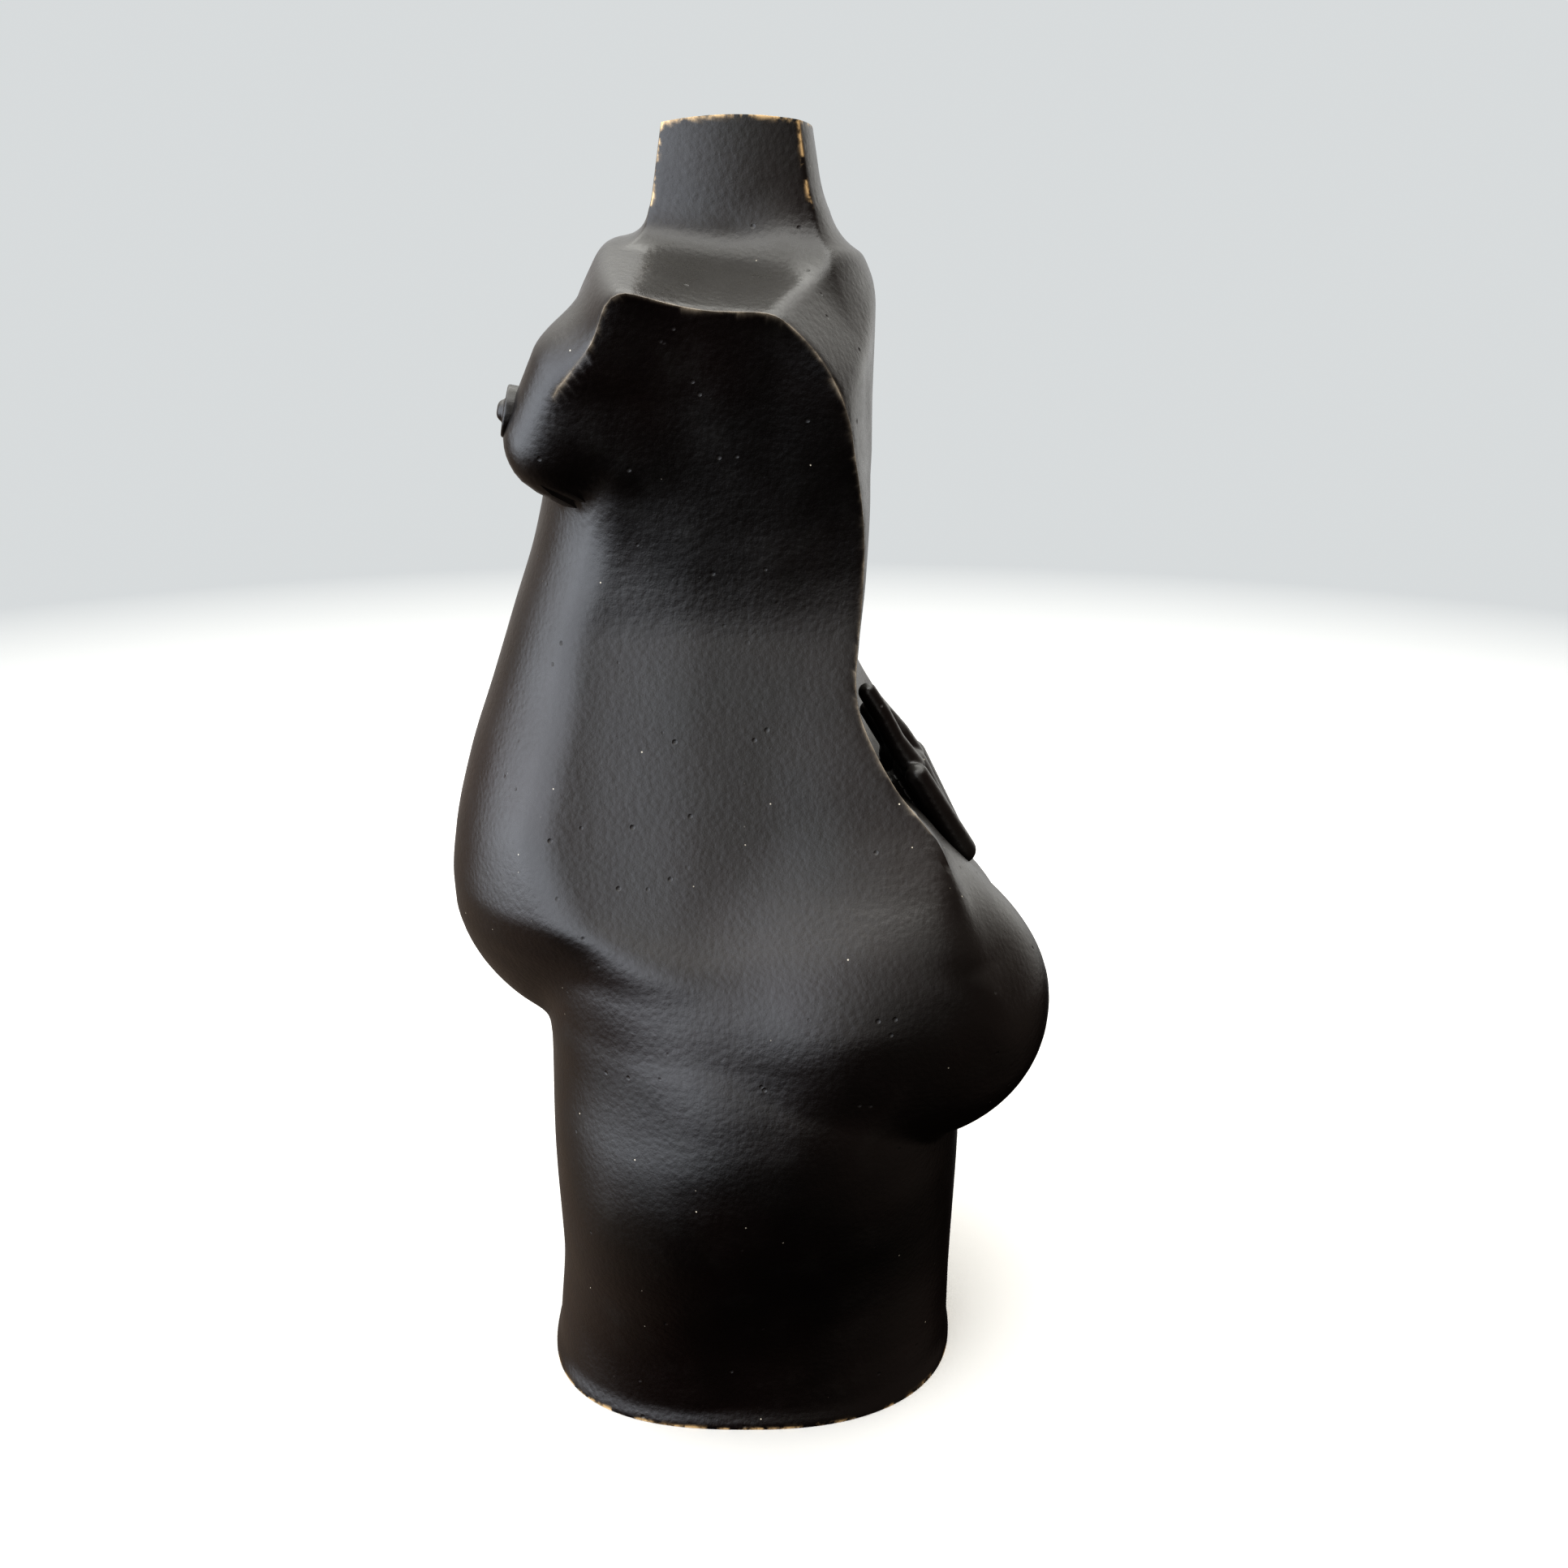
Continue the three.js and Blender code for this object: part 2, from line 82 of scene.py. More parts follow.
# The carved figure. Sizes in millimetres; a list of pairs is a smooth curve through (height, value).
torsoSizes = {
    "height": 420,
    "columnLength": 145,
    "columnWidth": 122,
    "footRimHeight": 8,
    "footRimFlare": 1.2,
    "neckLength": 43,
    "neckWidth": 48,
    "neckRoundWidth": 66,
    "neckDome": 0.004,
    "neck": {
        "middle": -1.8, "root": 340, "widening": 0.16, "widest": 4, "squareFront": 5, "squareBack": 2.5,
        "facetSet": 1.2, "facetBulge": 0.006, "facetFrom": 396, "cornerSoftness": 0.6,
        "rootSoftness": 4, "joinFront": 13, "joinBack": 22, "joinBlend": (-5, 15),
    },
    "topSoftness": 0.5,
    "footSoftness": 0.8,
    "chest": {"depth": 60, "softness": 10, "grooveWidth": 9, "flareHalf": 50},
    "frontReach": [
        (120, 24), (129, 50), (135, 69), (141, 81), (150, 89.5), (159, 95), (168, 98.5),
        (177, 100.2), (186, 100.3), (203, 98.3), (229, 91.8), (253, 83.3), (277, 75), (300, 67.1),
        (318, 63), (346, 60), (359, 54.5), (372, 49.5), (386, 42), (400, 34),
    ],
    "frontWidth": [
        (125, 24), (140, 44), (155, 58), (168, 68), (178, 75), (190, 80), (210, 79), (235, 71),
        (260, 63.5), (300, 58.5), (325, 66), (346, 80), (358, 94), (368, 95), (376, 94), (386, 100),
    ],
    "backReach": [
        (120, 60), (160, 66), (180, 60), (195, 53), (210, 44), (225, 38), (240, 34.5), (255, 33.5),
        (272, 35.5), (290, 37.5), (314, 38.6), (340, 38.4), (365, 38.8), (385, 38),
    ],
    "backFlare": [
        (180, 0), (195, 4), (205, 8), (215, 10.5), (234, 6.5), (255, 0.5), (272, -2), (300, -3.4),
        (331, -5.6), (345, -6),
    ],
    "spineGroove": [(190, 2), (225, 3.2), (260, 3.4), (330, 2), (370, 0)],
    "belly": {"bottom": 118, "softness": 14},
    "shoulderTop": {
        "level": 387.3, "flatHalf": 20, "turn": 6, "fall": 0.32, "tilt": 0.09, "tiltPlace": -30,
        "steepness": 0.93, "waves": [(-31, 8, -1.6), (-9, 11, 1.5)], "waveHalf": 66, "softness": 5,
    },
    "shoulderBlade": {
        "aim": (0.492, 0.756, 0.431), "reach": 201.3, "roundness": 22,
        "arch": 2, "archLevel": 354.5, "archCurve": 0.013, "archRange": (-14, 30), "archHalf": 62,
        "softness": 2,
    },
    "flankWidth": [
        (0, 130), (130, 106), (150, 94), (162, 86), (172, 79.2), (180, 74.2), (190, 69), (200, 65),
        (215, 60.2), (230, 56.4), (250, 51.7), (270, 47.3), (276, 46.3), (282, 46), (290, 46.3),
        (302, 47.6), (318, 50), (334, 53.3), (348, 57), (360, 61), (368, 64.3), (372, 66.7),
        (374, 69), (380, 82), (400, 120),
    ],
    "flankRearFlare": [
        (200, 0), (215, 1), (236, 1), (255, 0.5), (272, 0), (300, -1), (325, 0), (341, 1.2),
        (360, 1.8), (374, 0),
    ],
    "flankFrontFlare": [
        (170, 0), (196, -2), (230, -2), (255, -2), (282, -2), (300, -2.8), (316, -1.4), (325, 1.5),
        (335, 2.2), (344, 2.2), (350, 3.4), (359, 3.7), (366, 2.6), (374, 0),
    ],
    "rearFlareReach": (5, 33),
    "frontFlareReach": (12, 50),
    "flankSlope": 0.9,
    "edgeBlend": (-20, 10),
    "crispEdge": 3.1,
    "crispFrom": 180,
    "rimFade": (300, 350),
    "rimPeak": 374,
    "rimHeight": [(-60, 376), (-30, 374), (8, 369), (16, 366), (40, 356)],  # over y, not over height
    "frontEdgeSoftness": [
        (150, 22), (170, 15), (180, 9), (192, 5), (205, 4.5), (225, 4), (260, 3.3), (308, 3.3),
        (322, 3.2), (335, 2.6), (345, 1.2),
    ],
    "rearEdgeSoftness": [(150, 26), (180, 18), (192, 14), (205, 8), (222, 2), (235, 1)],
    "hipSwell": [
        (10, 0.3), (30, 2.5), (50, 8.5), (70, 16.5), (90, 23), (105, 25.7), (118, 26.4),
        (132, 25.6), (147, 24.4), (162, 23.2), (176, 22.8), (186, 23), (197, 26), (206, 31),
    ],
    "hipShift": [(-60, -8), (-20, -4), (0, 0), (40, 12)],  # over y
    "hipCentre": [(60, 0), (100, 5), (130, 11), (206, 13)],
    "thighSwell": [
        (0, 0), (15, -1.5), (50, -4.3), (96, -3.4), (130, -3.8), (150, -1.5), (167, 1.5),
        (191, 1.8), (200, -6), (208, -22),
    ],
    "seatSwell": [(30, 0), (90, 1), (110, -1), (150, -6), (190, -22)],
    "thighSquareness": [(40, 2.6), (110, 2.4), (150, 2.3)],
    "columnSquareness": 2.35,
    "thighTop": {"level": 206, "softness": 12},
    "hipSoftness": [(-70, 4), (-52, 5), (-30, 14), (10, 26)],  # over y
    "buttock": {
        "centre": (38, 47.7, 152), "radii": (40.5, 50, 46.8), "farDrop": 21,
        "foldSoftness": 2.5, "topSoftness": 34, "foldBlend": (110, 165),
    },
    "breast": {"tip": (37, -52.7, 332), "tipRadius": 17, "top": (41.5, -42, 348.4), "topRadius": 19.5},
    "breastSoftness": [(318, 5), (338, 12), (362, 10)],
    "farArm": [
        {"start": (-56, -2, 350), "end": (-62, 8, 232), "radii": (14, 11.5)},
        {"start": (-62, 8, 232), "end": (-12, 59, 202), "radii": (11.5, 8)},
    ],
    "armSoftness": 9,
    # mesh: columns of points round the figure and rows of them up it
    "farthest": 170,
    "nearest": 6,
    "stride": 4,
    "columns": 220,
    "rows": 340,
    "axisPlace": [(0, 1), (100, 1), (170, 0), (230, -12), (270, -18), (300, -14), (350, -6), (390, -2)],
    "rayTilt": [(240, 0), (300, 0.35), (330, 0.75), (345, 0.8), (365, 0.45), (385, 0.1), (395, 0)],
    "rowBase": [
        (0, 24), (0.095, 24), (0.213, 96), (0.345, 140), (0.479, 215), (0.621, 300), (0.903, 395),
        (0.905, 396), (1, 396),
    ],
    "rowLean": [
        (0, -90), (0.03, -30), (0.04, -22.5), (0.055, -17), (0.095, 0), (0.905, 0), (0.955, 38),
        (0.975, 50), (1, 90),
    ],
}


def ease(start, end, t):
    s = np.clip((t - start) / (end - start), 0, 1)
    return s * s * (3 - 2 * s)


def mix(a, b, t):
    return a + (b - a) * t


def profile(pairs):
    # a smooth curve that never overshoots its points, read off a fine table
    places = np.array([pair[0] for pair in pairs], float)
    values = np.array([pair[1] for pair in pairs], float)
    steps = np.diff(values) / np.diff(places)
    before = np.concatenate([steps[:1], steps])
    after = np.concatenate([steps, steps[-1:]])
    same = before * after > 0
    slopes = np.where(same, 2 * before * after / np.where(same, before + after, 1), 0)
    fine = np.linspace(places[0], places[-1], 4000)
    i = np.clip(np.searchsorted(places, fine, side="right") - 1, 0, len(places) - 2)
    span = places[i + 1] - places[i]
    t = (fine - places[i]) / span
    rise = slopes[i] * span
    fall = slopes[i + 1] * span
    a = values[i]
    b = values[i + 1]
    table = a + t * (rise + t * (3 * (b - a) - 2 * rise - fall + t * (2 * (a - b) + rise + fall)))
    return lambda x: np.interp(x, fine, table)


def union(a, b, soft):
    h = np.maximum(soft - np.abs(a - b), 0) / soft
    return np.minimum(a, b) - h * h * soft / 4


def common(a, b, soft):
    return -union(-a, -b, soft)


def section(x, y, halfWidth, front, back, squareFront, squareBack):
    depth = np.where(y < 0, front, back)
    power = np.where(y < 0, squareFront, squareBack)
    out = (np.abs(x / halfWidth) ** power + np.abs(y / depth) ** power) ** (1 / power)
    out = np.maximum(out, 1e-6)
    return np.where(out < 2e-6, -np.minimum(halfWidth, depth), np.hypot(x, y) * (1 - 1 / out))


def ellipsoid(x, y, z, centre, radii):
    a = x - centre[0]
    b = y - centre[1]
    c = z - centre[2]
    out = np.sqrt((a / radii[0]) ** 2 + (b / radii[1]) ** 2 + (c / radii[2]) ** 2)
    return np.sqrt(a * a + b * b + c * c) * (1 - 1 / np.maximum(out, 1e-6))


def limb(x, y, z, start, end, startRadius, endRadius):
    along = [end[i] - start[i] for i in range(3)]
    square = sum(value * value for value in along)
    a = x - start[0]
    b = y - start[1]
    c = z - start[2]
    t = np.clip((a * along[0] + b * along[1] + c * along[2]) / square, 0, 1)
    gap = np.sqrt((a - along[0] * t) ** 2 + (b - along[1] * t) ** 2 + (c - along[2] * t) ** 2)
    return gap - mix(startRadius, endRadius, t)


curves = {}
for name, value in torsoSizes.items():
    if isinstance(value, list) and name != "farArm":
        curves[name] = profile(value)


def flankLimit(y, z):
    s = torsoSizes
    level = z + (s["rimPeak"] - curves["rimHeight"](y)) * ease(*s["rimFade"], z)
    width = curves["flankWidth"](level) + curves["flankRearFlare"](level) * ease(*s["rearFlareReach"], y)
    return width + curves["flankFrontFlare"](level) * ease(*s["frontFlareReach"], -y)


def torsoSkin(x, y, z):
    s = torsoSizes
    outward = np.abs(x)
    body = s["chest"]
    forward = np.minimum(y, -1e-9)
    front = section(x, forward, curves["frontWidth"](z), curves["frontReach"](z), body["depth"], 2, 2)
    groove = curves["spineGroove"](z) * np.exp(-((x / body["grooveWidth"]) ** 2))
    back = y - curves["backReach"](z) - curves["backFlare"](z) * (x / body["flareHalf"]) ** 2 + groove
    top = s["shoulderTop"]
    slope = np.log1p(np.exp((outward - top["flatHalf"]) / top["turn"])) * top["turn"]
    waves = sum(depth * np.exp(-(((y - at) / reach) ** 2)) for at, reach, depth in top["waves"])
    plane = z - top["level"] + top["fall"] * slope + top["tilt"] * (y - top["tiltPlace"])
    topCut = top["steepness"] * plane + waves * (x / top["waveHalf"]) ** 2
    blade = s["shoulderBlade"]
    aim = blade["aim"]
    rise = np.clip(z - blade["archLevel"], *blade["archRange"])
    arch = (blade["archCurve"] * rise**2 - blade["arch"]) * (x / blade["archHalf"]) ** 2
    across = np.hypot(x, blade["roundness"])
    bladeCut = aim[0] * across + aim[1] * y + aim[2] * z - blade["reach"] + arch
    b = s["breast"]
    breast = limb(outward, y, z, b["tip"], b["top"], b["tipRadius"], b["topRadius"])
    chest = union(common(front, back, body["softness"]), breast, curves["breastSoftness"](z))
    return common(common(chest, topCut, top["softness"]), bladeCut, blade["softness"])


def neckParts(x, y, z):
    s = torsoSizes
    neck = s["neck"]
    along = y - neck["middle"]
    half = s["neckLength"] / 2 + np.minimum(neck["widest"], neck["widening"] * (s["height"] - z))
    halfWidth = s["neckRoundWidth"] / 2
    around = section(x, along, halfWidth, half, half, neck["squareFront"], neck["squareBack"])
    facet = np.abs(x) - s["neckWidth"] / 2 - neck["facetSet"] + neck["facetBulge"] * along**2
    return around, facet


def hipsForm(x, y, z):
    s = torsoSizes
    rim = s["footRimFlare"] * (1 - ease(0, s["footRimHeight"], z))
    halfWidth = s["columnWidth"] / 2 + curves["hipSwell"](z - curves["hipShift"](y)) + rim
    front = s["columnLength"] / 2 + curves["thighSwell"](z) + rim
    back = s["columnLength"] / 2 + curves["seatSwell"](z) + rim
    middle = curves["hipCentre"](z)
    thigh = curves["thighSquareness"](z)
    seat = s["columnSquareness"]
    column = section(x, y - middle, halfWidth, front + middle, back - middle, thigh, seat)
    return common(column, z - s["thighTop"]["level"], s["thighTop"]["softness"])


def form(x, y, z):
    # distance outside the figure, and three signed gaps whose zero marks a sharp edge
    s = torsoSizes
    outward = np.abs(x)
    skin = torsoSkin(x, y, z)
    flank = (outward - flankLimit(y, z)) * s["flankSlope"]
    rearward = ease(*s["edgeBlend"], y)
    softness = mix(curves["frontEdgeSoftness"](z), curves["rearEdgeSoftness"](z), rearward)
    rimEdge = np.where((softness < s["crispEdge"]) & (z > s["crispFrom"]), flank - skin, np.nan)
    solid = common(skin, s["belly"]["bottom"] - z, s["belly"]["softness"])
    solid = union(solid, hipsForm(x, y, z), curves["hipSoftness"](y))
    solid = common(solid, flank, softness)
    around, facet = neckParts(x, y, z)
    neck = s["neck"]
    sided = common(around, facet, neck["cornerSoftness"])
    facetEdge = np.where(z > neck["facetFrom"], facet - around, np.nan)
    joinSoftness = mix(neck["joinFront"], neck["joinBack"], ease(*neck["joinBlend"], y))
    solid = union(solid, common(sided, neck["root"] - z, neck["rootSoftness"]), joinSoftness)
    seat = s["buttock"]
    level = np.where(x > 0, z, z + seat["farDrop"])
    cheek = ellipsoid(outward, y, level, seat["centre"], seat["radii"])
    upward = ease(*seat["foldBlend"], level)
    solid = union(solid, cheek, mix(seat["foldSoftness"], seat["topSoftness"], upward))
    for part in s["farArm"]:
        arm = limb(x, y, z, part["start"], part["end"], *part["radii"])
        solid = union(solid, arm, s["armSoftness"])
    top = z - s["height"] + s["neckDome"] * (y - neck["middle"]) ** 2
    topEdge = np.where(z > s["height"] - 20, top - solid, np.nan)
    footEdge = np.where(z < 15, -z - solid, np.nan)
    levelEdge = np.where(z > s["height"] / 2, topEdge, footEdge)
    solid = common(solid, top, s["topSoftness"])
    solid = common(solid, -z, s["footSoftness"])
    return solid, rimEdge, facetEdge, levelEdge


def castRays(row, column):
    # rays fan out from an upright axis inside the body, and lean up or down with the row
    s = torsoSizes
    t = row / s["rows"]
    turn = column / s["columns"] * 2 * np.pi
    base = curves["rowBase"](t)
    lean = np.radians(curves["rowLean"](t)) + np.arctan(curves["rayTilt"](base))
    middle = curves["axisPlace"](base)
    dx = np.sin(turn) * np.cos(lean)
    dy = -np.cos(turn) * np.cos(lean)
    dz = np.sin(lean)
    outer = np.full(row.shape, float(s["farthest"]))
    seeking = np.ones(row.shape, bool)
    while seeking.any() and outer[seeking].max() > s["nearest"]:
        i = np.flatnonzero(seeking)
        reach = outer[i]
        solid = form(dx[i] * reach, middle[i] + dy[i] * reach, base[i] + dz[i] * reach)[0]
        out = (solid > 0) & (reach > s["nearest"])
        outer[i[out]] -= s["stride"]
        seeking[i[~out]] = False
    inner = outer.copy()
    outer = outer + s["stride"]
    for _ in range(15):
        half = (inner + outer) / 2
        out = form(dx * half, middle + dy * half, base + dz * half)[0] > 0
        outer = np.where(out, half, outer)
        inner = np.where(out, inner, half)
    points = np.stack([dx * inner, middle + dy * inner, base + dz * inner], axis=-1)
    return points, form(points[..., 0], points[..., 1], points[..., 2])[1:]


def slideToEdges(points, gaps, fixed, which, down, across):
    # moves a point on to a sharp edge that runs between it and the next point, then pins it
    s = torsoSizes
    rows = np.arange(2, s["rows"] - 2)
    columns = np.arange(s["columns"])
    for start in (0, 1):
        pickedRows = rows[start::2] if down else rows
        pickedColumns = columns if down else columns[start::2]
        r, c = np.meshgrid(pickedRows, pickedColumns, indexing="ij")
        r = r.ravel()
        c = c.ravel()
        r2 = r + down
        c2 = (c + across) % s["columns"]
        here = gaps[which][r, c]
        there = gaps[which][r2, c2]
        ready = np.isfinite(here) & np.isfinite(there) & (here * there < 0)
        ready = ready & ~fixed[r, c] & ~fixed[r2, c2]
        r, c, r2, c2, here = (value[ready] for value in (r, c, r2, c2, here))
        if not len(r):
            continue
        low = np.zeros(len(r))
        high = np.ones(len(r))
        for _ in range(9):
            half = (low + high) / 2
            probe = castRays(r + down * half, c + across * half)[1][which]
            before = np.isfinite(probe) & (probe * here > 0)
            low = np.where(before, half, low)
            high = np.where(before, high, half)
        moved = castRays(r + down * low, c + across * low)[0]
        near = low < 0.5
        tr = np.where(near, r, r2)
        tc = np.where(near, c, c2)
        points[tr, tc] = moved
        fixed[tr, tc] = True


def carveTorso():
    s = torsoSizes
    row, column = np.meshgrid(np.arange(s["rows"] + 1.0), np.arange(float(s["columns"])), indexing="ij")
    flat, gaps = castRays(row.ravel(), column.ravel())
    points = flat.reshape(row.shape + (3,))
    gaps = [gap.reshape(row.shape) for gap in gaps]
    fixed = np.zeros(row.shape, bool)
    rim, facet, level = 0, 1, 2
    for which in (level, rim, facet):
        slideToEdges(points, gaps, fixed, which, 1, 0)
        slideToEdges(points, gaps, fixed, which, 0, 1)
    points[0] = points[0].mean(axis=0)
    points[-1] = points[-1].mean(axis=0)
    deselectAll()
    bpy.ops.mesh.primitive_grid_add(x_subdivisions=s["columns"], y_subdivisions=s["rows"], size=1)
    body = bpy.context.object
    body.name = "torsoSkin"
    wrapped = np.concatenate([points, points[:, :1]], axis=1) * mm
    body.data.vertices.foreach_set("co", wrapped.astype("float32").ravel())
    # a quad whose rising corners are both on an edge is split along it, the others the other way
    pinned = np.concatenate([fixed, fixed[:, :1]], axis=1)
    rising = (pinned[:-1, :-1] & pinned[1:, 1:]).ravel()
    bpy.ops.object.mode_set(mode="EDIT")
    bpy.ops.mesh.select_mode(type="FACE")
    bpy.ops.mesh.select_all(action="DESELECT")
    bpy.ops.object.mode_set(mode="OBJECT")
    body.data.polygons.foreach_set("select", rising)
    bpy.ops.object.mode_set(mode="EDIT")
    bpy.ops.mesh.quads_convert_to_tris(quad_method="FIXED", ngon_method="BEAUTY")
    bpy.ops.mesh.select_all(action="SELECT")
    bpy.ops.mesh.quads_convert_to_tris(quad_method="FIXED_ALTERNATE", ngon_method="BEAUTY")
    bpy.ops.mesh.remove_doubles(threshold=2e-6)
    bpy.ops.mesh.dissolve_degenerate(threshold=1e-6)
    bpy.ops.mesh.normals_make_consistent(inside=False)
    bpy.ops.object.mode_set(mode="OBJECT")
    return body


torso = carveTorso()
print("torso is carved:", len(torso.data.polygons), "faces")

# The hand on the small of the back, in millimetres: back of the hand outwards, fingers up.
handSizes = {
    "palm": [
        {"start": (-13, 61, 200), "end": (-11, 50, 221), "radii": (8, 6)},
        {"start": (-4, 66, 194), "end": (-3, 53.5, 222), "radii": (7.5, 6.5)},
        {"start": (6, 67, 193), "end": (8, 53.5, 222.5), "radii": (7, 6)},
        {"start": (10, 58, 198), "end": (8, 46, 216), "radii": (6, 5)},
    ],
    "fingers": [
        {
            "joints": [(12, 53.5, 224), (12.5, 47.5, 233), (13, 43, 242), (13, 38.5, 249.3)],
            "radii": (4.2, 3.5, 3.3, 3.1),
        },
        {"joints": [(4, 54, 225), (4, 49.5, 233), (3.5, 45, 238.8)], "radii": (4.4, 3.6, 3.2)},
        {"joints": [(-4.5, 52, 225), (-5.5, 46.5, 233), (-6.5, 41.5, 240)], "radii": (4.4, 3.7, 3.3)},
        {"joints": [(-12, 49.5, 223), (-14, 44.5, 229.5), (-16, 40.5, 235)], "radii": (4.2, 3.5, 3.1)},
    ],
    "thumb": {"start": (17, 70.5, 196.5), "end": (18, 54.8, 222.5), "radii": (4.6, 4.1)},
    "voxel": 0.65,
}


def addBar(name, start, end, startRadius, endRadius):
    # a round bar with round ends, from one point to the other
    deselectAll()
    a = Vector(start)
    b = Vector(end)
    bpy.ops.mesh.primitive_uv_sphere_add(segments=24, ring_count=16, radius=1)
    bar = bpy.context.object
    bar.name = name
    along = b - a
    turn = along.to_track_quat("Z", "Y")
    for vertex in bar.data.vertices:
        upper = vertex.co.z > 0
        radius = endRadius if upper else startRadius
        place = turn @ (vertex.co * radius)
        vertex.co = (place + (b if upper else a)) * mm
    return bar


def joinInto(first, others):
    selectOnly(first, *others)
    bpy.ops.object.join()
    return bpy.context.object


def voxelRemesh(piece, size):
    selectOnly(piece)
    remesh = piece.modifiers.new("remesh", "REMESH")
    remesh.mode = "VOXEL"
    remesh.voxel_size = size * mm
    remesh.use_smooth_shade = True
    bpy.ops.object.modifier_apply(modifier=remesh.name)


def smooth(piece, factor, times):
    selectOnly(piece)
    rounding = piece.modifiers.new("rounding", "SMOOTH")
    rounding.factor = factor
    rounding.iterations = times
    bpy.ops.object.modifier_apply(modifier=rounding.name)


def modelHand():
    s = handSizes
    bars = []
    for i, bone in enumerate(s["palm"]):
        bars.append(addBar("palm%d" % i, bone["start"], bone["end"], *bone["radii"]))
    for i, finger in enumerate(s["fingers"]):
        joints = finger["joints"]
        radii = finger["radii"]
        for j in range(len(joints) - 1):
            name = "finger%dpart%d" % (i, j)
            bars.append(addBar(name, joints[j], joints[j + 1], radii[j], radii[j + 1]))
    thumb = s["thumb"]
    bars.append(addBar("thumb", thumb["start"], thumb["end"], *thumb["radii"]))
    hand = joinInto(bars[0], bars[1:])
    hand.name = "hand"
    voxelRemesh(hand, s["voxel"])
    smooth(hand, 0.5, 3)
    return hand


hand = modelHand()
print("hand is modelled:", len(hand.data.polygons), "faces")

nippleSizes = {
    "place": (37.5, -67.6, 340),
    "aim": (0.12, -0.97, 0.2),
    "discRadius": 7.6,
    "discRise": 1.4,
    "knobRadius": 2.5,
    "knobRise": 3,
}


def modelNipple(side):
    s = nippleSizes
    deselectAll()
    bpy.ops.mesh.primitive_cylinder_add(vertices=40, radius=s["discRadius"], depth=4 + s["discRise"])
    nipple = bpy.context.object
    nipple.name = "nippleLeft" if side > 0 else "nippleRight"
    # the far face becomes a ring, then the knob
    top = max(face.center.z for face in nipple.data.polygons)
    bpy.ops.object.mode_set(mode="EDIT")
    bpy.ops.mesh.select_mode(type="FACE")
    bpy.ops.mesh.select_all(action="DESELECT")
    bpy.ops.object.mode_set(mode="OBJECT")
    for face in nipple.data.polygons:
        face.select = face.center.z > top - 1e-4
    bpy.ops.object.mode_set(mode="EDIT")
    bpy.ops.mesh.inset(thickness=s["discRadius"] - s["knobRadius"] * 1.35, depth=0.1)
    bpy.ops.mesh.inset(thickness=s["knobRadius"] * 0.25, depth=(s["knobRise"] - s["discRise"]) * 0.8)
    bpy.ops.mesh.inset(thickness=s["knobRadius"] * 0.45, depth=0.7)
    bpy.ops.object.mode_set(mode="OBJECT")
    bevel = nipple.modifiers.new("bevel", "BEVEL")
    bevel.width = 0.7
    bevel.segments = 4
    bevel.limit_method = "ANGLE"
    bevel.angle_limit = math.radians(25)
    bpy.ops.object.modifier_apply(modifier=bevel.name)
    aim = Vector((s["aim"][0] * side, s["aim"][1], s["aim"][2])).normalized()
    turn = aim.to_track_quat("Z", "Y")
    base = Vector((s["place"][0] * side, s["place"][1], s["place"][2]))
    middle = (4 + s["discRise"]) / 2 - s["discRise"]
    for vertex in nipple.data.vertices:
        rounded = vertex.co + Vector((0, 0, -middle))
        vertex.co = (turn @ rounded + base) * mm
    return nipple


nipples = [modelNipple(1), modelNipple(-1)]


def unite(piece, other):
    selectOnly(piece)
    joint = piece.modifiers.new("unite", "BOOLEAN")
    joint.operation = "UNION"
    joint.solver = "EXACT"
    joint.object = other
    bpy.ops.object.modifier_apply(modifier=joint.name)
    bpy.data.objects.remove(other)


for other in (hand, *nipples):
    unite(torso, other)
selectOnly(torso)
bpy.ops.object.shade_smooth_by_angle(angle=math.radians(38))
torso.name = "carvedTorso"
torso.data.name = "carvedTorso"
print("torso is whole:", len(torso.data.polygons), "faces")


# Wear: how near each point is to a worn edge, kept on the mesh for the finish.
wearSizes = {"rim": 0.7, "facet": 0.6, "level": 0.9, "frontLevel": 343, "sideLimit": 0.9}


def markWear(piece):
    count = len(piece.data.vertices)
    place = np.empty(count * 3, "float32")
    piece.data.vertices.foreach_get("co", place)
    place = place.reshape(-1, 3).astype(float) / mm
    solid, rim, facet, level = form(place[:, 0], place[:, 1], place[:, 2])
    onSkin = np.abs(solid) < 0.4
    normal = np.empty(count * 3, "float32")
    piece.data.vertices.foreach_get("normal", normal)
    # how far each point faces up, for the dust and the painted light from above in the finish
    attribute = piece.data.attributes.new("upFacing", "FLOAT", "POINT")
    attribute.data.foreach_set("value", np.ascontiguousarray(normal[2::3]))
    rim = np.where((place[:, 1] > 0) | (place[:, 2] > wearSizes["frontLevel"]), rim, np.nan)
    # the neck's side edges wear on its sides only, not across its flat top
    facet = np.where(np.abs(normal[2::3]) < wearSizes["sideLimit"], facet, np.nan)
    for name, gap in (("rim", rim), ("facet", facet), ("level", level)):
        near = np.exp(-((np.nan_to_num(gap, nan=99.0) / wearSizes[name]) ** 2)) * onSkin
        attribute = piece.data.attributes.new(name + "Wear", "FLOAT", "POINT")
        attribute.data.foreach_set("value", near.astype("float32"))


markWear(torso)


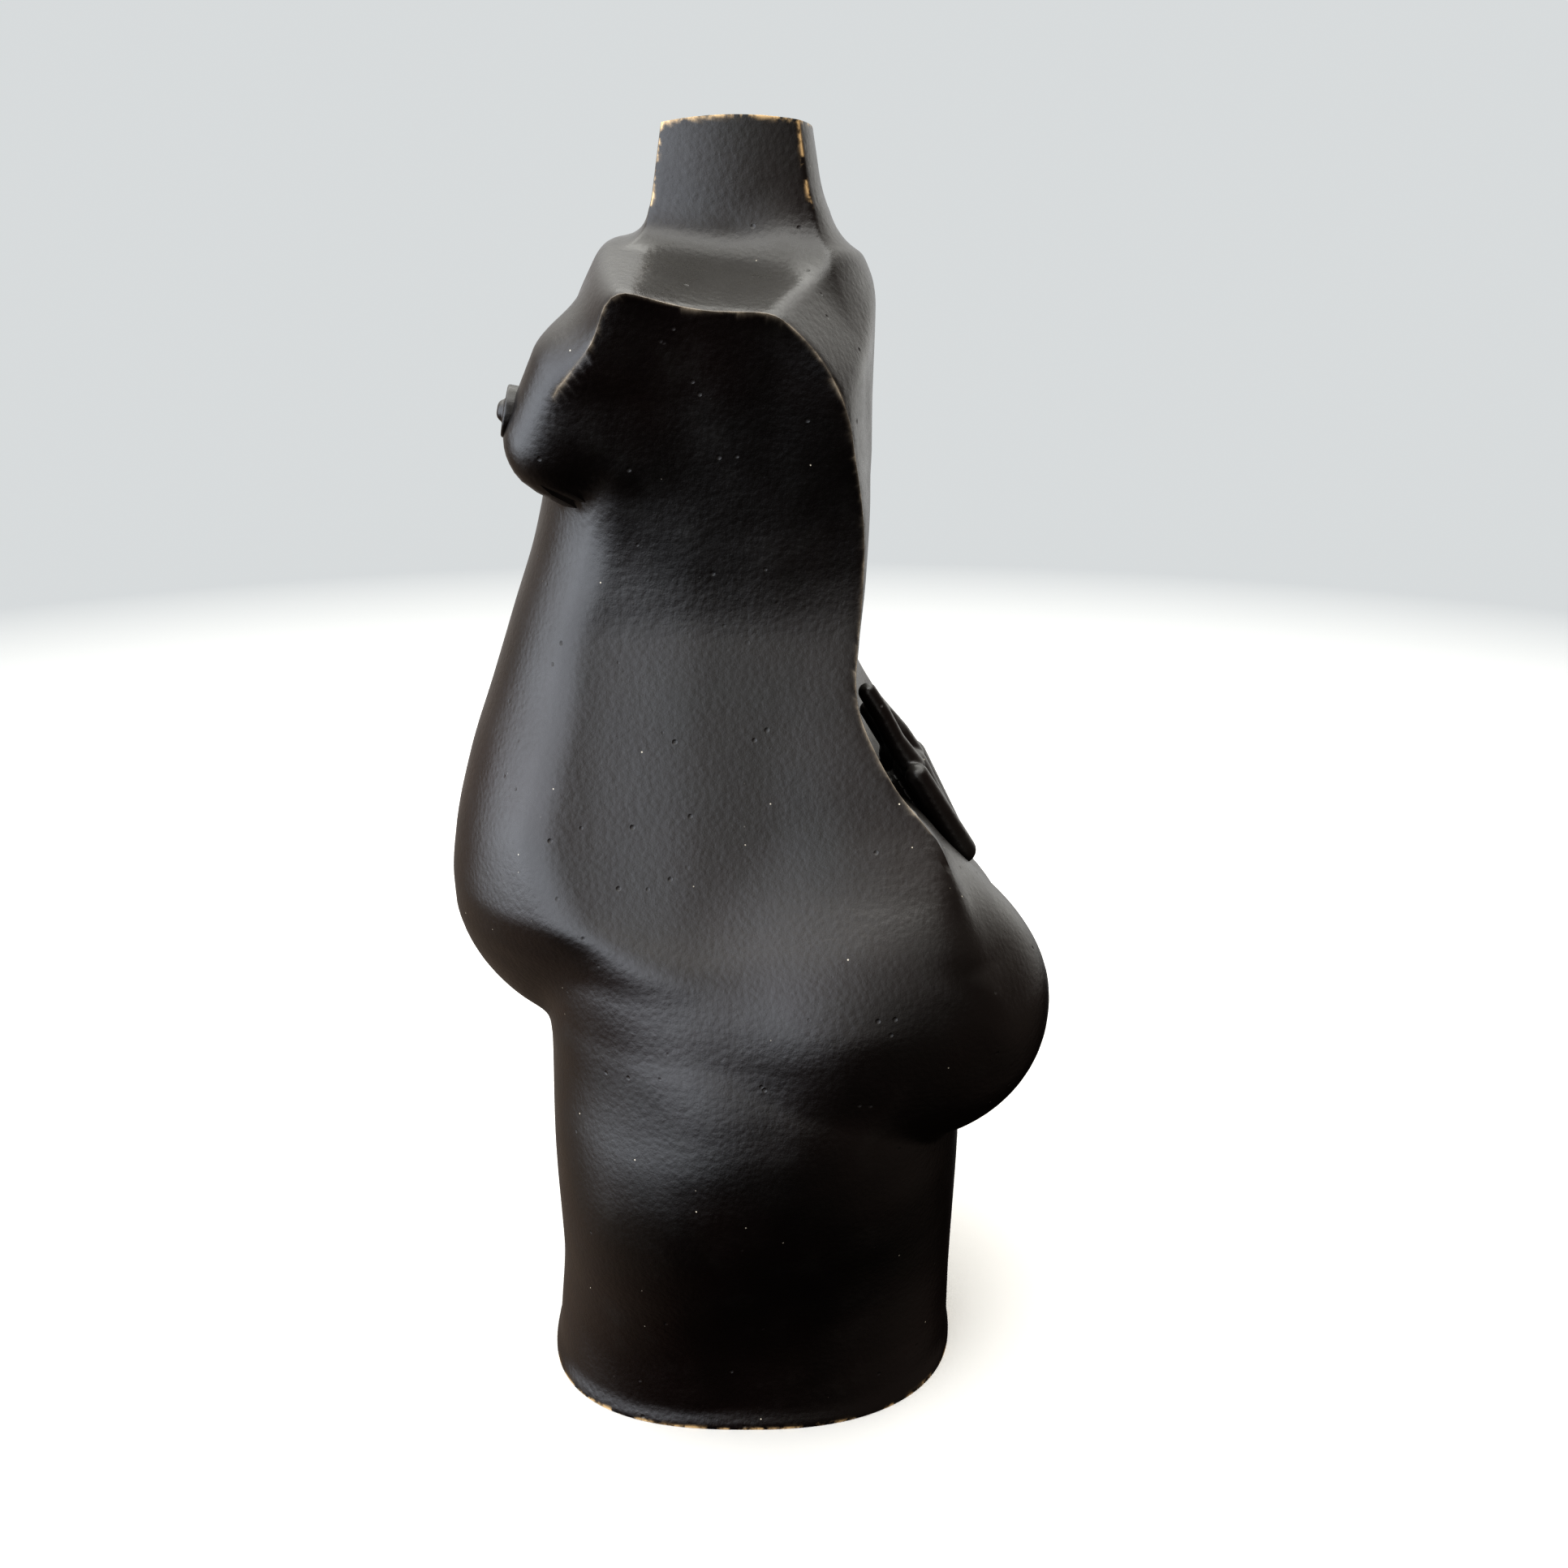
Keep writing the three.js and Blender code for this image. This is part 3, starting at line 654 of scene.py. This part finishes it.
class Maths:
    # wraps a socket so that shader maths is written as an expression
    def __init__(self, tree, socket):
        self.tree = tree
        self.socket = socket

    def node(self, operation, *values):
        made = self.tree.nodes.new("ShaderNodeMath")
        made.operation = operation
        for i, value in enumerate(values):
            if isinstance(value, Maths):
                self.tree.links.new(value.socket, made.inputs[i])
            else:
                made.inputs[i].default_value = value
        return Maths(self.tree, made.outputs[0])

    def __add__(self, other):
        return self.node("ADD", self, other)

    __radd__ = __add__

    def __sub__(self, other):
        return self.node("SUBTRACT", self, other)

    def __rsub__(self, other):
        return self.node("SUBTRACT", other, self)

    def __mul__(self, other):
        return self.node("MULTIPLY", self, other)

    __rmul__ = __mul__

    def clamped(self):
        return self.node("MAXIMUM", self.node("MINIMUM", self, 1.0), 0.0)

    def between(self, low, high):
        return ((self - low) * (1 / (high - low))).clamped()

    def power(self, exponent):
        return self.node("POWER", self, exponent)


class Nodes:
    def __init__(self, tree):
        self.tree = tree

    def add(self, kind, settings=None, **sockets):
        made = self.tree.nodes.new(kind)
        for name, value in (settings or {}).items():
            if name == "stops":
                while len(made.color_ramp.elements) < len(value):
                    made.color_ramp.elements.new(0.5)
                for element, (spot, colour) in zip(made.color_ramp.elements, value):
                    element.position = spot
                    element.color = colour
            else:
                setattr(made, name, value)
        for name, value in sockets.items():
            socket = self.input(made, name)
            if isinstance(value, Maths):
                value = value.socket
            if isinstance(value, bpy.types.NodeSocket):
                self.tree.links.new(value, socket)
            else:
                socket.default_value = value
        return made

    def input(self, made, name):
        # a name that ends in a number is an input's place, such as the factor and colours of a Mix
        if name[-1].isdigit() and name[:2] == "in":
            return made.inputs[int(name[2:])]
        return made.inputs[name]

    def value(self, made, output=0):
        return Maths(self.tree, made.outputs[output])

    def blend(self, factor, first, second):
        made = self.add("ShaderNodeMix", {"data_type": "RGBA"}, in0=factor, in6=first, in7=second)
        return made.outputs[2]


class Finish(Nodes):
    def __init__(self, name):
        self.material = bpy.data.materials.new(name)
        self.material.use_nodes = True
        super().__init__(self.material.node_tree)
        self.shader = self.tree.nodes["Principled BSDF"]
        self.place = self.add("ShaderNodeTexCoord").outputs["Object"]

    def noise(self, scale, detail=3, roughness=0.55, vector=None):
        return self.value(self.add("ShaderNodeTexNoise", None, Vector=vector or self.place, Scale=scale,
                                   Detail=detail, Roughness=roughness))

    def stretched(self, x, y, z):
        return self.add("ShaderNodeMapping", None, Vector=self.place, Scale=(x, y, z)).outputs[0]

    def attribute(self, name):
        return self.value(self.add("ShaderNodeAttribute", {"attribute_name": name}), 2)


# Fired clay under a dark patina, rubbed satin, worn to pale clay on its crisp edges.
patinaLook = {
    "dark": (0.004, 0.0029, 0.0025, 1),
    "warm": (0.007, 0.0036, 0.003, 1),
    "dusty": (0.013, 0.012, 0.0105, 1),
    # colour of surfaces that face up: dust, and painted light from above
    "dustAndToplight": (0.036, 0.034, 0.031, 1),
    "ochre": (0.52, 0.36, 0.19, 1),
    "rubbedClay": (0.3, 0.25, 0.19, 1),
    "paleClay": (0.62, 0.56, 0.46, 1),
    "roughness": 0.3,
    "skinBump": 0.5,
    "pitDepth": 0.8,
}


def finishPatina():
    s = patinaLook
    f = Finish("patinatedClay")
    broad = f.noise(14, 3)
    middle = f.noise(60, 4)
    fine = f.noise(700, 3, 0.6)
    grain = f.noise(1900, 2)
    tools = f.noise(420, 3, 0.5, f.stretched(1, 1, 0.08))
    pitCells = f.add("ShaderNodeTexVoronoi", {"feature": "F1"}, Vector=f.place, Scale=190.0)
    pitPick = f.value(f.add("ShaderNodeSeparateColor", None, Color=pitCells.outputs["Color"]))
    pits = (1 - f.value(pitCells).between(0.05, 0.16)) * pitPick.between(0.86, 0.9)
    speckCells = f.add("ShaderNodeTexVoronoi", {"feature": "F1"}, Vector=f.place, Scale=260.0)
    speckPick = f.value(f.add("ShaderNodeSeparateColor", None, Color=speckCells.outputs["Color"]), 1)
    specks = (1 - f.value(speckCells).between(0.03, 0.09)) * speckPick.between(0.93, 0.95)
    colour = f.blend(broad.between(0.35, 0.68), s["dark"], s["warm"])
    colour = f.blend(middle.between(0.56, 0.8) * 0.35, colour, s["dusty"])
    # paler where the surface faces up, patchy with the broad noise: dust, and painted light from above
    dustAndToplight = f.attribute("upFacing").between(0.35, 0.95) * (0.5 + broad * 0.7)
    colour = f.blend(dustAndToplight.clamped(), colour, s["dustAndToplight"])
    rim = f.attribute("rimWear")
    facet = f.attribute("facetWear")
    level = f.attribute("levelWear")
    rubbed = f.noise(130, 4, 0.6)
    rimWorn = rim.power(5) * (0.25 + rubbed.between(0.42, 0.6) * 0.5)
    colour = f.blend(rimWorn.clamped(), colour, s["rubbedClay"])
    neckWorn = (facet.power(1.5) + level.power(1.5)).clamped() * rubbed.between(0.46, 0.56)
    colour = f.blend(neckWorn.clamped(), colour, s["ochre"])
    colour = f.blend(specks * 0.8, colour, s["paleClay"])
    f.tree.links.new(colour, f.shader.inputs["Base Color"])
    rough = (s["roughness"] + (middle - 0.5) * 0.22 + (fine - 0.5) * 0.12 + pits * 0.3).clamped()
    f.tree.links.new(rough.socket, f.shader.inputs["Roughness"])
    leather = {"feature": "SMOOTH_F1"}
    cells = f.add("ShaderNodeTexVoronoi", leather, Vector=f.place, Scale=520.0, Smoothness=0.6)
    pebbles = f.value(cells) * (broad + middle)
    relief = fine * 0.2 + grain * 0.1 - pebbles * 0.22 + tools * 0.08 + middle * 0.7
    height = relief - pits * s["pitDepth"]
    bump = f.add("ShaderNodeBump", None, Strength=s["skinBump"], Distance=0.0006, Height=height)
    f.tree.links.new(bump.outputs["Normal"], f.shader.inputs["Normal"])
    f.shader.inputs["Specular IOR Level"].default_value = 0.5
    return f.material


torso.data.materials.clear()
torso.data.materials.append(finishPatina())
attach(torso, "root")
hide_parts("torso")
print("finish is on")

# Floor: plain and pale, fading into a pale background
stageLook = {
    "floor": (0.50, 0.49, 0.475, 1),
    "background": (0.51, 0.525, 0.53, 1),
    "fadeStart": 0.5,
    "fadeEnd": 1.5,
}
deselectAll()
bpy.ops.mesh.primitive_plane_add(size=6)
floor = bpy.context.object
floor.name = "floor"
f = Finish("paleFloor")
f.shader.inputs["Base Color"].default_value = stageLook["floor"]
f.shader.inputs["Roughness"].default_value = 0.8
away = f.value(f.add("ShaderNodeVectorMath", {"operation": "LENGTH"}, in0=f.place), 1)
clear = f.add("ShaderNodeBsdfTransparent")
fade = away.between(stageLook["fadeStart"], stageLook["fadeEnd"])
faded = f.add("ShaderNodeMixShader", None, in0=fade, in1=f.shader.outputs[0], in2=clear.outputs[0])
f.tree.links.new(faded.outputs[0], f.tree.nodes["Material Output"].inputs["Surface"])
floor.data.materials.append(f.material)
floor.visible_diffuse = False
floor.visible_glossy = False
floor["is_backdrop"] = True

# light: dark low down and on the right, pale at eye level, brighter overhead, a broad soft window
# on the left and a warm glow under it; the camera itself sees only the plain background
lightLook = {
    "below": (0.006, 0.004, 0.003, 1), "above": (1.3, 1.29, 1.24, 1), "level": (-0.3, -0.05),
    "shade": (0.2, 0.17, 0.15, 1), "shadeAim": (0.3, 0.93, 0.1), "shadeReach": (0.3, 0.8),
    "overhead": (4.6, 4.6, 4.5, 1), "overheadLevel": (0.6, 0.9),
    "high": (2.4, 2.4, 2.3, 1), "highAim": (-0.2, 0, 0.98), "highReach": (0.8, 0.98),
    "rear": (0.6, 0.6, 0.6, 1), "rearAim": (-1, -0.1, 0.05), "rearReach": (0.7, 0.96),
    "glow": (0.26, 0.21, 0.17, 1), "glowAim": (-0.35, -0.85, -0.4), "glowReach": (0.45, 0.95),
    "window": (3.8, 4.0, 4.3, 1), "windowAim": (0.5, -0.86, -0.02), "windowReach": (0.5, 0.9),
    "windowLevel": (-0.7, -0.2),
}


def lightScene():
    s = lightLook
    world = bpy.data.worlds.new("softStudio")
    bpy.context.scene.world = world
    world.use_nodes = True
    n = Nodes(world.node_tree)
    direction = n.add("ShaderNodeTexCoord").outputs["Generated"]
    height = n.value(n.add("ShaderNodeSeparateXYZ", None, in0=direction), 2)

    def towards(name):
        aim = Vector(s[name + "Aim"]).normalized()
        dot = n.add("ShaderNodeVectorMath", {"operation": "DOT_PRODUCT"}, in0=direction, in1=aim)
        return n.value(dot, 1).between(*s[name + "Reach"])

    light = n.blend(height.between(*s["level"]), s["below"], s["above"])
    light = n.blend(towards("shade"), light, s["shade"])
    light = n.blend(height.between(*s["overheadLevel"]), light, s["overhead"])
    light = n.blend(towards("high"), light, s["high"])
    light = n.blend(towards("rear"), light, s["rear"])
    light = n.blend(towards("glow"), light, s["glow"])
    light = n.blend(towards("window") * height.between(*s["windowLevel"]).power(2), light, s["window"])
    cameraSees = n.add("ShaderNodeLightPath").outputs["Is Camera Ray"]
    light = n.blend(cameraSees, light, stageLook["background"])
    n.tree.links.new(light, n.tree.nodes["Background"].inputs["Color"])


lightScene()
bpy.context.scene.view_settings.view_transform = "Standard"
bpy.context.scene.view_settings.look = "High Contrast"
print("stage is lit")

sizes = {"cad": cadBox, "visual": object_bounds()}
sizes = {name: [list(corner) for corner in box] for name, box in sizes.items()}
